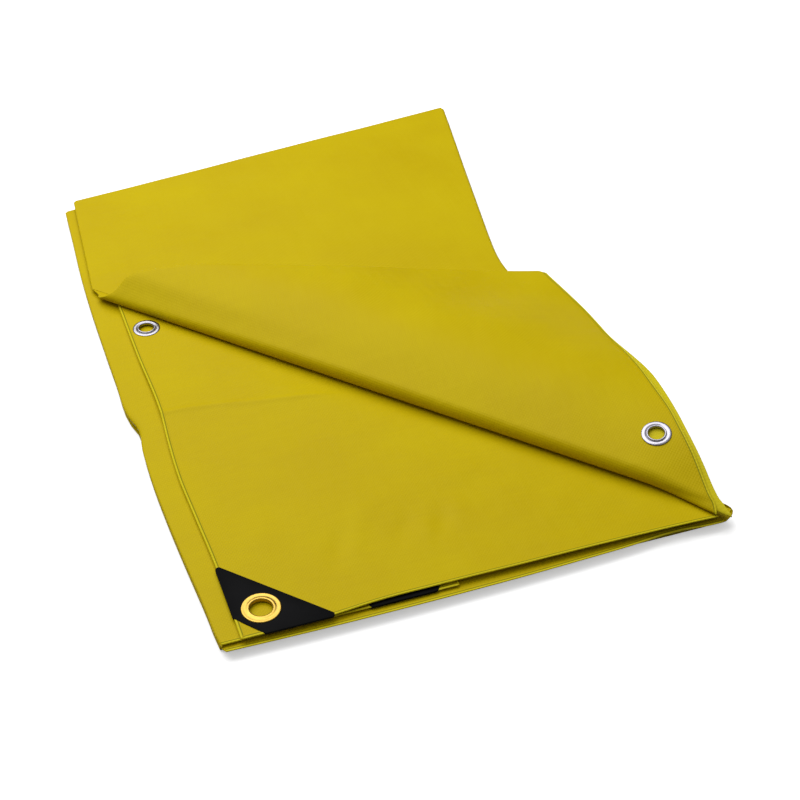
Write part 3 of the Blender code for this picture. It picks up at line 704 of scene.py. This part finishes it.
# Upper faces of the pressed rings: share of the flange radius, share of the height.
BRASS_FACE = ((0.572, -0.3), (0.572, 0.45), (0.585, 0.75), (0.61, 0.94), (0.64, 1.0),
              (0.68, 0.96), (0.72, 0.80), (0.755, 0.66), (0.80, 0.60), (0.85, 0.62),
              (0.90, 0.72), (0.94, 0.76), (0.965, 0.70), (0.985, 0.52), (0.996, 0.28),
              (1.0, 0.06))
STEEL_FACE = ((0.54, -0.3), (0.54, 0.5), (0.553, 0.85), (0.578, 1.08), (0.61, 1.15),
              (0.64, 1.06), (0.662, 0.8), (0.675, 0.42), (0.69, 0.24), (0.71, 0.26),
              (0.735, 0.48), (0.775, 0.60), (0.83, 0.64), (0.89, 0.60), (0.94, 0.50),
              (0.975, 0.34), (0.993, 0.18), (1.0, 0.04))
RING_STEPS = 96


def circle_about(normal, steps):
    """A unit normal, and the unit circle of points square to it."""
    normal = np.asarray(normal, float) / np.linalg.norm(normal)
    first = np.cross([0.0, 1.0, 0.0], normal)
    first /= np.linalg.norm(first)
    second = np.cross(normal, first)
    turn = np.linspace(0, 2 * math.pi, steps, endpoint=False)[:, None]
    return normal, np.cos(turn) * first + np.sin(turn) * second


def eyelet(name, kind, size, face, middle, normal, grip):
    """A pressed eyelet: a rolled ring, its flange and the barrel below it."""
    normal, outward = circle_about(normal, RING_STEPS)
    flange = size["flange"] * MM
    height = size["height"] * MM
    bore = face[0][0] * flange
    barrel = bore + 0.45 * MM
    profile = [(barrel, -grip), (bore, -grip)]
    profile += [(r * flange, z * height) for r, z in face]
    profile += [(flange - 0.25 * MM, 0.0), (barrel, 0.0)]
    rings = [middle + outward * r + normal * z for r, z in profile]
    return build(name, [solid(rings)], kind, smooth=34)


def rounded(outline, radius, inset):
    """A convex outline with rounded corners, drawn in by the inset."""
    outline = np.asarray(outline, float)
    count = len(outline)
    points = []
    for k in range(count):
        before = outline[k] - outline[k - 1]
        after = outline[(k + 1) % count] - outline[k]
        before /= np.linalg.norm(before)
        after /= np.linalg.norm(after)
        out_before = np.array([before[1], -before[0]])
        out_after = np.array([after[1], -after[0]])
        bisector = out_before + out_after
        bisector /= 1 + out_before @ out_after
        middle = outline[k] - bisector * radius
        start = math.atan2(out_before[1], out_before[0])
        sweep = (math.atan2(out_after[1], out_after[0]) - start) % (2 * math.pi)
        for step in range(9):
            angle = start + sweep * step / 8
            points.append(middle + (radius - inset) * np.array([math.cos(angle),
                                                                 math.sin(angle)]))
    return np.array(points)


def cut(target, cutters):
    """Take the cutters out of a piece and remove them."""
    for cutter in cutters:
        modifier = target.modifiers.new("cut", "BOOLEAN")
        modifier.operation = "DIFFERENCE"
        modifier.solver = "EXACT"
        modifier.object = cutter
        with bpy.context.temp_override(object=target, active_object=target):
            bpy.ops.object.modifier_apply(modifier=modifier.name)
        bpy.data.objects.remove(cutter)
    target.data.shade_smooth()
    target.data.set_sharp_from_angle(angle=math.radians(50))


def capped(rings):
    """A prism of equal rings, closed by a face at each end."""
    rings = np.asarray(rings, float)
    count, size = rings.shape[:2]
    verts = (rings.reshape(-1, 3) - ORIGIN).tolist()
    faces = [list(range(size))[::-1], list(range((count - 1) * size, count * size))]
    for k in range(count - 1):
        for i in range(size):
            j = (i + 1) % size
            faces.append([k * size + i, k * size + j, (k + 1) * size + j, (k + 1) * size + i])
    mesh = bpy.data.meshes.new("solid")
    mesh.from_pydata(verts, [], faces)
    return linked("solid", mesh)


def drill(middle, normal, size, reach):
    """A round cutter for an eyelet's barrel, reaching so far in and out (mm)."""
    normal, circle = circle_about(normal, 48)
    wall = np.asarray(middle, float) + circle * (size["barrel"] * MM)
    return capped([wall - normal * (reach[0] * MM), wall + normal * (reach[1] * MM)])


def corner_patch(name, corner, side, level, eyelet_at):
    """A moulded patch wrapped round a corner, its very tip left open."""
    out = 0.5 * MM
    legs = (PATCH_LEGS[0] + PATCH_EXTRA, PATCH_LEGS[1] + PATCH_EXTRA)
    outline = [(-out, PATCH_CUT[1]), (PATCH_CUT[0], -out), (legs[0], -out), (-out, legs[1])]
    outline = [(corner[0] + side * x, corner[1] + y) for x, y in outline]
    if side < 0:
        outline = outline[::-1]
    # Inset and rise of each ring of the moulding's rounded side, in mm.
    levels = ((0.45, -0.95), (0.16, -0.88), (0.02, -0.70), (0.0, -0.3), (0.0, 0.3),
              (0.02, 0.70), (0.16, 0.88), (0.45, 0.95))
    rings = []
    for inset, rise in levels:
        ring = rounded(outline, 2.6 * MM, inset * MM)
        rings.append(np.column_stack([ring, np.full(len(ring), level + rise * MM)]))
    made = capped(rings)
    made.name = name
    made.data.name = name
    made.data.materials.append(MATERIALS["patch"])
    box = np.array([(-0.1, -0.1), (90, -0.1), (90, 90), (-0.1, 90)]) * MM
    box = np.array([(corner[0] + side * x, corner[1] + y) for x, y in box])
    if side < 0:
        box = box[::-1]
    pocket = capped([np.column_stack([box, np.full(4, level - 0.6 * MM)]),
                     np.column_stack([box, np.full(4, level + 0.56 * MM)])])
    hole = drill([*eyelet_at, level], (0, 0, 1), BRASS, (4, 4))
    cut(made, [pocket, hole])
    made.data.set_sharp_from_angle(angle=math.radians(30))
    return made


# ---- Materials ----
class Graph:
    """Short names for building one material's nodes."""

    def __init__(self, name):
        self.material = bpy.data.materials.new(name)
        self.material.use_nodes = True
        self.tree = self.material.node_tree
        self.shader = self.tree.nodes["Principled BSDF"]

    def node(self, kind, inputs=(), **settings):
        made = self.tree.nodes.new(kind)
        for key, value in settings.items():
            setattr(made, key, value)
        for key, value in dict(inputs).items():
            if isinstance(value, bpy.types.NodeSocket):
                self.tree.links.new(value, made.inputs[key])
            else:
                made.inputs[key].default_value = value
        return made

    def math(self, operation, first, second=0.0):
        made = self.node("ShaderNodeMath", {0: first, 1: second}, operation=operation)
        return made.outputs[0]

    def noise(self, vector, scale, detail=3.0, roughness=0.55):
        made = self.node("ShaderNodeTexNoise", {"Vector": vector, "Scale": scale,
                                                "Detail": detail, "Roughness": roughness})
        return made.outputs["Fac"]

    def ramp(self, value, stops):
        made = self.node("ShaderNodeValToRGB", {"Fac": value})
        elements = made.color_ramp.elements
        while len(elements) < len(stops):
            elements.new(0.5)
        for element, (place, colour) in zip(elements, stops):
            element.position = place
            element.color = (*colour, 1)
        return made.outputs["Color"]

    def scaled(self, vector, scale, turn=0.0):
        made = self.node("ShaderNodeMapping", {"Vector": vector, "Scale": scale,
                                               "Rotation": (0, 0, turn)})
        return made.outputs["Vector"]

    def mix(self, share, first, second, way="MIX"):
        first, second = (value if isinstance(value, bpy.types.NodeSocket) else (*value, 1)
                         for value in (first, second))
        made = self.node("ShaderNodeMix", {"Factor": share, 6: first, 7: second},
                         data_type="RGBA", blend_type=way)
        return made.outputs[2]

    def bump(self, height, distance, under=None, strength=1.0):
        inputs = {"Height": height, "Distance": distance, "Strength": strength}
        if under is not None:
            inputs["Normal"] = under
        return self.node("ShaderNodeBump", inputs).outputs["Normal"]

    def finish(self, colour, normal, roughness, **others):
        self.tree.links.new(colour, self.shader.inputs["Base Color"])
        self.tree.links.new(normal, self.shader.inputs["Normal"])
        if isinstance(roughness, bpy.types.NodeSocket):
            self.tree.links.new(roughness, self.shader.inputs["Roughness"])
        else:
            self.shader.inputs["Roughness"].default_value = roughness
        for key, value in others.items():
            self.shader.inputs[key.replace("_", " ")].default_value = value
        return self.material


YELLOW = (0.580, 0.445, 0.0012)
YELLOW_WARM = (0.548, 0.405, 0.0010)
# Painted highlight for a hem's bead and painted shade for the groove beside it.
YELLOW_BEAD_HIGHLIGHT = (0.640, 0.540, 0.012)
OLIVE_GROOVE_SHADE = (0.26, 0.235, 0.004)
TAPE_PITCH = 1.55 * MM


def woven(graph, hem_highlight_and_shade=False):
    """Coated tape weave: crossing tapes with painted shade in the hollows between them, faint
    creases and uneven dye; on hems, a painted highlight on the bead and painted shade in the groove
    beside it.
    """
    cloth = graph.node("ShaderNodeUVMap", uv_map="cloth").outputs["UV"]
    split = graph.node("ShaderNodeSeparateXYZ", {"Vector": cloth})
    rate = math.pi / TAPE_PITCH
    warp = graph.math("SINE", graph.math("MULTIPLY", split.outputs["X"], rate))
    weft = graph.math("SINE", graph.math("MULTIPLY", split.outputs["Y"], rate))
    weave = graph.math("MULTIPLY", warp, weft)
    crest = graph.math("ABSOLUTE", weave)
    broad = graph.noise(cloth, 9.0, 3.0)
    tapes = graph.noise(graph.scaled(cloth, (40.0, 640.0, 1.0)), 1.0, 1.0)
    tone = graph.math("ADD", graph.math("MULTIPLY", broad, 0.75),
                      graph.math("MULTIPLY", tapes, 0.25))
    colour = graph.ramp(tone, ((0.36, YELLOW_WARM), (0.64, YELLOW)))
    # Painted shade: the cloth is darker in the hollows between the crossing tapes.
    shade = graph.ramp(crest, ((0.0, (0.80, 0.79, 0.76)), (0.45, (1.0, 1.0, 1.0))))
    colour = graph.mix(0.4, colour, shade, "MULTIPLY")
    creases = graph.noise(graph.scaled(cloth, (60.0, 14.0, 1.0), math.radians(38)), 1.0, 2.0)
    folds = graph.noise(graph.scaled(cloth, (16.0, 34.0, 1.0), math.radians(-20)), 1.0, 2.0)
    normal = graph.bump(folds, 2.0 * MM, None, 0.5)
    normal = graph.bump(creases, 0.9 * MM, normal, 0.5)
    normal = graph.bump(weave, 0.08 * MM, normal, 0.8)
    if hem_highlight_and_shade:
        # Painted highlight on the hem's rolled bead and painted shade in the groove beside it,
        # placed by distance from the edge.
        teeth = graph.noise(graph.scaled(cloth, (1.0, 900.0, 1.0)), 1.0, 1.0)
        place = graph.math("ADD", split.outputs["X"],
                           graph.math("MULTIPLY", graph.math("SUBTRACT", teeth, 0.5),
                                      0.5 * MM))
        place = graph.math("MULTIPLY", graph.math("ADD", place, 0.5 * MM), 250.0)
        bead = graph.ramp(place, ((0.0, (1, 1, 1)), (0.36, (1, 1, 1)), (0.41, (0, 0, 0))))
        groove_shade = graph.ramp(place, ((0.38, (0, 0, 0)), (0.43, (1, 1, 1)), (0.60, (1, 1, 1)),
                                    (0.70, (0, 0, 0))))
        colour = graph.mix(groove_shade, colour, OLIVE_GROOVE_SHADE)
        colour = graph.mix(bead, colour, YELLOW_BEAD_HIGHLIGHT)
    roughness = graph.ramp(broad, ((0.3, (0.40, 0.40, 0.40)), (0.7, (0.50, 0.50, 0.50))))
    return graph.finish(colour, normal, roughness, Specular_IOR_Level=0.06)


def moulded(graph):
    """Matte black moulding with a fine grain and a painted highlight along its edges."""
    place = graph.node("ShaderNodeTexCoord").outputs["Object"]
    grain = graph.noise(place, 2600.0, 2.0)
    cloud = graph.noise(place, 60.0, 3.0)
    edge = graph.node("ShaderNodeNewGeometry").outputs["Pointiness"]
    # Painted highlight: the sharpest edges of the moulding are made paler.
    edge_highlight = graph.ramp(edge, ((0.50, (0, 0, 0)), (0.58, (1, 1, 1))))
    colour = graph.ramp(cloud, ((0.35, (0.0018, 0.0018, 0.0019)), (0.7, (0.0032, 0.0032, 0.0033))))
    colour = graph.mix(graph.math("MULTIPLY", edge_highlight, 0.4), colour, (0.02, 0.02, 0.022))
    normal = graph.bump(grain, 0.12 * MM, None, 0.6)
    return graph.finish(colour, normal, 0.55, Specular_IOR_Level=0.025)


def pressed(graph, bright, dull, low, high):
    """Pressed metal: fine turning marks and slightly uneven plating."""
    place = graph.node("ShaderNodeTexCoord").outputs["Object"]
    cloud = graph.noise(place, 420.0, 3.0)
    fine = graph.noise(place, 3200.0, 2.0)
    colour = graph.ramp(cloud, ((0.35, dull), (0.65, bright)))
    roughness = graph.ramp(cloud, ((0.3, (low, low, low)), (0.7, (high, high, high))))
    normal = graph.bump(cloud, 0.05 * MM, None, 0.2)
    normal = graph.bump(fine, 0.01 * MM, normal, 0.3)
    return graph.finish(colour, normal, roughness, Metallic=1.0)


MATERIALS = {
    "cloth": woven(Graph("coated_tape_weave")),
    "hem": woven(Graph("hemmed_weave_painted_light"), hem_highlight_and_shade=True),
    "patch": moulded(Graph("matte_black_moulding")),
    "brass": pressed(Graph("pressed_brass"), (0.52, 0.35, 0.075), (0.44, 0.28, 0.05), 0.26, 0.36),
    "steel": pressed(Graph("plated_steel"), (0.38, 0.37, 0.42), (0.32, 0.31, 0.35), 0.22, 0.32),
}


# ---- Pieces ----
TOP = "top_length"
LOW = "lower_bundle"
FLAP = "flap"
roll_way = ROLL_AWAY * 0.1 + np.array([0.0, 0.0, 1.0])
roll_way /= np.linalg.norm(roll_way)


def follow_roll(piece):
    """Bake the piece's placement into its mesh."""
    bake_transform(piece)


def surface(s, w, depth):
    """A place on the flap and the way its face looks there."""
    step = 1 * MM
    here, along_s, along_w = flap_points(np.array([s, s + step, s]), np.array([w, w, w + step]),
                                         depth)
    normal = np.cross(along_s - here, along_w - here)
    return here, normal / np.linalg.norm(normal)


def level_at(x, y, z):
    """A place on one of the flat plies."""
    return settle(np.array([x, y, z + face_relief(x, y) * (z > SHORT_Z)]))


UP = np.array([0.0, 0.0, 1.0])
face_brass = level_at(*BRASS_AT, FACE_Z)
short_brass = level_at(*SHORT_BRASS_AT, SHORT_Z)
left_steel = level_at(*STEEL_LEFT_AT, FACE_Z)
flap_w = STEEL_FLAP_ST[1] - FLAP_START_T + ROLL_ARC
flap_steel, flap_up = surface(STEEL_FLAP_ST[0], flap_w, FACE_DEPTH)

lower = build("lower_lengths_cloth", [lower_cloth()], "cloth")
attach(lower, LOW)
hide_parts("bottom_length", "middle_length", "near_cross_fold")

far = build("far_fold_cloth", far_turns(), "cloth")
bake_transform(far)
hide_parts("far_fold_upper", "far_fold_lower")

base = build("base_cloth", [base_cloth()], "cloth")
cut(base, [drill(short_brass, UP, BRASS, (1, 1))])
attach(base, TOP)
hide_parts("base_ply", "short_ply", "left_edge_fold", "right_outer_fold")

rear = build("rear_cloth", [rear_cloth()], "cloth")
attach(rear, TOP)
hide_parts("rear_outer_ply", "rear_inner_ply", "rear_left_fold")

face = build("face_cloth", [face_cloth()], "cloth")
cut(face, [drill(face_brass, UP, BRASS, (1, 1)),
           drill(left_steel, UP, STEEL, (1, 1))])
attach(face, TOP)
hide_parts("face_ply", "right_inner_fold")

flap = build("flap_cloth", [flap_cloth()], "cloth")
cut(flap, [drill(flap_steel, flap_up, STEEL, (1.1, 2))])
follow_roll(flap)
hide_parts("flap_face_ply", "flap_under_ply", "flap_left_fold")

hems = {}
for name, parts in top_hems().items():
    hems[name] = build(name + "_hem_cloth", [parts], "hem")
holes = (
    ("face_left", face_brass, BRASS), ("face_near", face_brass, BRASS),
    ("face_left", left_steel, STEEL), ("short_near", short_brass, BRASS),
    ("short_free", short_brass, BRASS),
)
for name, place, size in holes:
    cut(hems[name], [drill(place, UP, size, (1.2, 1.5))])
for name, piece in hems.items():
    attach(piece, TOP)
    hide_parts(name + "_hem")

hems["flap_face"] = build("flap_face_hem_cloth", [flap_hem(2, FACE_DEPTH, 1)], "hem")
cut(hems["flap_face"], [drill(flap_steel, flap_up, STEEL, (1.2, 2))])
hems["flap_under"] = build("flap_under_hem_cloth",
                           [flap_hem(3, UNDER_DEPTH + FACE_DEPTH, -1)], "hem")
for name in ("flap_face", "flap_under"):
    follow_roll(hems[name])
    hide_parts(name + "_hem")

patches = (
    ("face", (15.75 * MM, 4.2 * MM), 1, FACE_Z, BRASS_AT),
    ("short", (186.55 * MM, 5.95 * MM), -1, SHORT_Z, SHORT_BRASS_AT),
)
for name, corner, side, level, at in patches:
    piece = corner_patch("corner_patch_" + name + "_moulding", corner, side, level, at)
    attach(piece, TOP)
    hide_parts("corner_patch_" + name)

eyelets = (
    ("brass_eyelet_face", "brass", BRASS, BRASS_FACE, face_brass + UP * 0.95 * MM, UP, 1.9, TOP),
    ("brass_eyelet_short", "brass", SHORT_BRASS, BRASS_FACE, short_brass + UP * 0.95 * MM, UP,
     1.9, TOP),
    ("steel_eyelet_left", "steel", STEEL, STEEL_FACE, left_steel + UP * 0.52 * MM, UP, 1.1, TOP),
    ("steel_eyelet_flap", "steel", STEEL, STEEL_FACE, flap_steel + flap_up * 0.52 * MM, flap_up,
     1.1, FLAP),
)
for name, kind, size, shape, place, way, grip, body in eyelets:
    piece = eyelet(name + "_pressing", kind, size, shape, place, way, grip * MM)
    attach(piece, body)
    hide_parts(name)
for name, kind in (("brass_washer_face", "brass"), ("brass_washer_short", "brass"),
                   ("steel_washer_left", "steel"), ("steel_washer_flap", "steel")):
    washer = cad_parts[name]
    washer.data.materials.clear()
    washer.data.materials.append(MATERIALS[kind])

# ---- Floor, light and camera ----
FLOOR_HALF = 6
FLOOR_GLOW = 0.45
SKY = ((0.0, 0.01), (0.3, 0.08), (0.62, 0.18), (0.85, 0.66))     # height of the ray, grey
BACKDROP = (0.98, 0.98, 0.98, 1)                # what the camera sees past the floor
SOFTBOX_AT = (-0.36, 0.72, 1.58)
SOFTBOX_SIZE = (2.2, 1.9)
SOFTBOX_POWER = 34
CAMERA_AT = Vector((-138.9 * MM, -784.0 * MM, 875.7 * MM))      # in plan coordinates
CAMERA_DOWN = 38.8
CAMERA_HEADING = -19.339

floor_mesh = bpy.data.meshes.new("floor")
floor_mesh.from_pydata([(-FLOOR_HALF, -FLOOR_HALF, 0), (FLOOR_HALF, -FLOOR_HALF, 0),
                        (FLOOR_HALF, FLOOR_HALF, 0), (-FLOOR_HALF, FLOOR_HALF, 0)],
                       [], [(0, 1, 2, 3)])
floor = linked("floor", floor_mesh)
floor_graph = Graph("pale_floor")
floor_graph.shader.inputs["Base Color"].default_value = (0.96, 0.96, 0.96, 1)
floor_graph.shader.inputs["Roughness"].default_value = 0.9
floor_graph.shader.inputs["Emission Color"].default_value = (1, 1, 1, 1)
floor_graph.shader.inputs["Emission Strength"].default_value = FLOOR_GLOW
floor_mesh.materials.append(floor_graph.material)
floor.visible_diffuse = False

world = bpy.data.worlds.new("studio")
world.use_nodes = True
world_nodes = world.node_tree.nodes
world_links = world.node_tree.links
direction = world_nodes.new("ShaderNodeTexCoord").outputs["Generated"]
split_world = world_nodes.new("ShaderNodeSeparateXYZ")
world_links.new(direction, split_world.inputs[0])
sky = world_nodes.new("ShaderNodeValToRGB")
while len(sky.color_ramp.elements) < len(SKY):
    sky.color_ramp.elements.new(0.5)
for element, (height, grey) in zip(sky.color_ramp.elements, SKY):
    element.position = height
    element.color = (grey, grey, grey, 1)
world_links.new(split_world.outputs["Z"], sky.inputs["Fac"])
seen = world_nodes.new("ShaderNodeLightPath").outputs["Is Camera Ray"]
backdrop = world_nodes.new("ShaderNodeMix")
backdrop.data_type = "RGBA"
world_links.new(seen, backdrop.inputs["Factor"])
world_links.new(sky.outputs["Color"], backdrop.inputs[6])
backdrop.inputs[7].default_value = BACKDROP
world_links.new(backdrop.outputs[2], world_nodes["Background"].inputs["Color"])
bpy.context.scene.world = world
bpy.context.scene.view_settings.view_transform = "Standard"

softbox_light = bpy.data.lights.new("overhead_softbox", "AREA")
softbox_light.shape = "RECTANGLE"
softbox_light.size, softbox_light.size_y = SOFTBOX_SIZE
softbox_light.energy = SOFTBOX_POWER
softbox = linked("overhead_softbox", softbox_light)
softbox.location = SOFTBOX_AT
softbox.rotation_euler = (-Vector(SOFTBOX_AT)).to_track_quat("-Z", "Y").to_euler()

camera_data = bpy.data.cameras.new("camera")
camera_data.lens = 72
camera_data.sensor_width = 36
camera = linked("camera", camera_data)
camera.location = CAMERA_AT - Vector(ORIGIN)
camera.rotation_euler = (math.radians(90 - CAMERA_DOWN), 0, math.radians(CAMERA_HEADING))
bpy.context.scene.camera = camera
